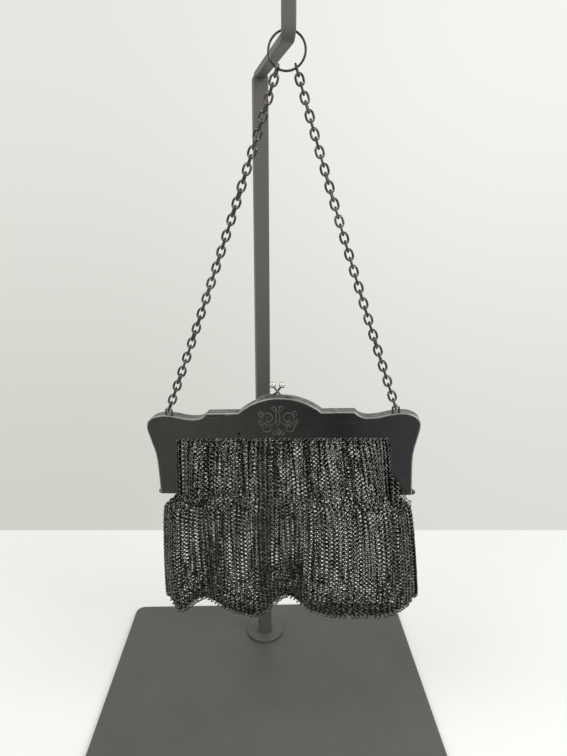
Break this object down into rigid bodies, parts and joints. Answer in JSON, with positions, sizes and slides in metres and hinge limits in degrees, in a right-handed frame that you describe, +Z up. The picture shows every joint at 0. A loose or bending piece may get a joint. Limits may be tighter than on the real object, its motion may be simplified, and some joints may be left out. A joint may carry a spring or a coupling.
{
  "type": "metal mesh purse on a plain display stand",
  "caption": "Ring-mesh purse with an arched dark metal kiss-lock frame, pleated bag with a waved hem, and a link chain on a plain finger ring, hung on a plain dark metal stand.",
  "frame": {"origin": "middle of the stand's underside", "axes": "+Z up, the front plate faces -Y, +X to the right of someone who looks at the front"},
  "size_m": [0.2592, 0.2592, 0.4398],
  "materials": {
    "frame_metal": "dark blackened silver, satin, rims worn light grey",
    "pin_metal": "dark satin",
    "knob_metal": "polished silver, tarnished low down",
    "chain_metal": "dark tarnished silver, rubbed bright where links bear",
    "ring_metal": "dark tarnished wire",
    "mesh_metal": "grey tarnished silver rings, warm brown in places",
    "stand_metal": "dark warm grey paint, satin"
  },
  "bodies": {
    "root": {"front_jaw": "frame_metal", "back_jaw": "frame_metal", "hinge_pin_left": "pin_metal", "hinge_pin_right": "pin_metal", "clasp_knob_front": "knob_metal", "clasp_knob_back": "knob_metal", "chain_loop_left": "chain_metal", "chain_loop_right": "chain_metal", "chain_left": "chain_metal", "chain_right": "chain_metal", "finger_ring": "ring_metal", "mesh_bag": "mesh_metal", "stand_plate": "stand_metal", "stand_upright": "stand_metal"}
  },
  "joints": []
}
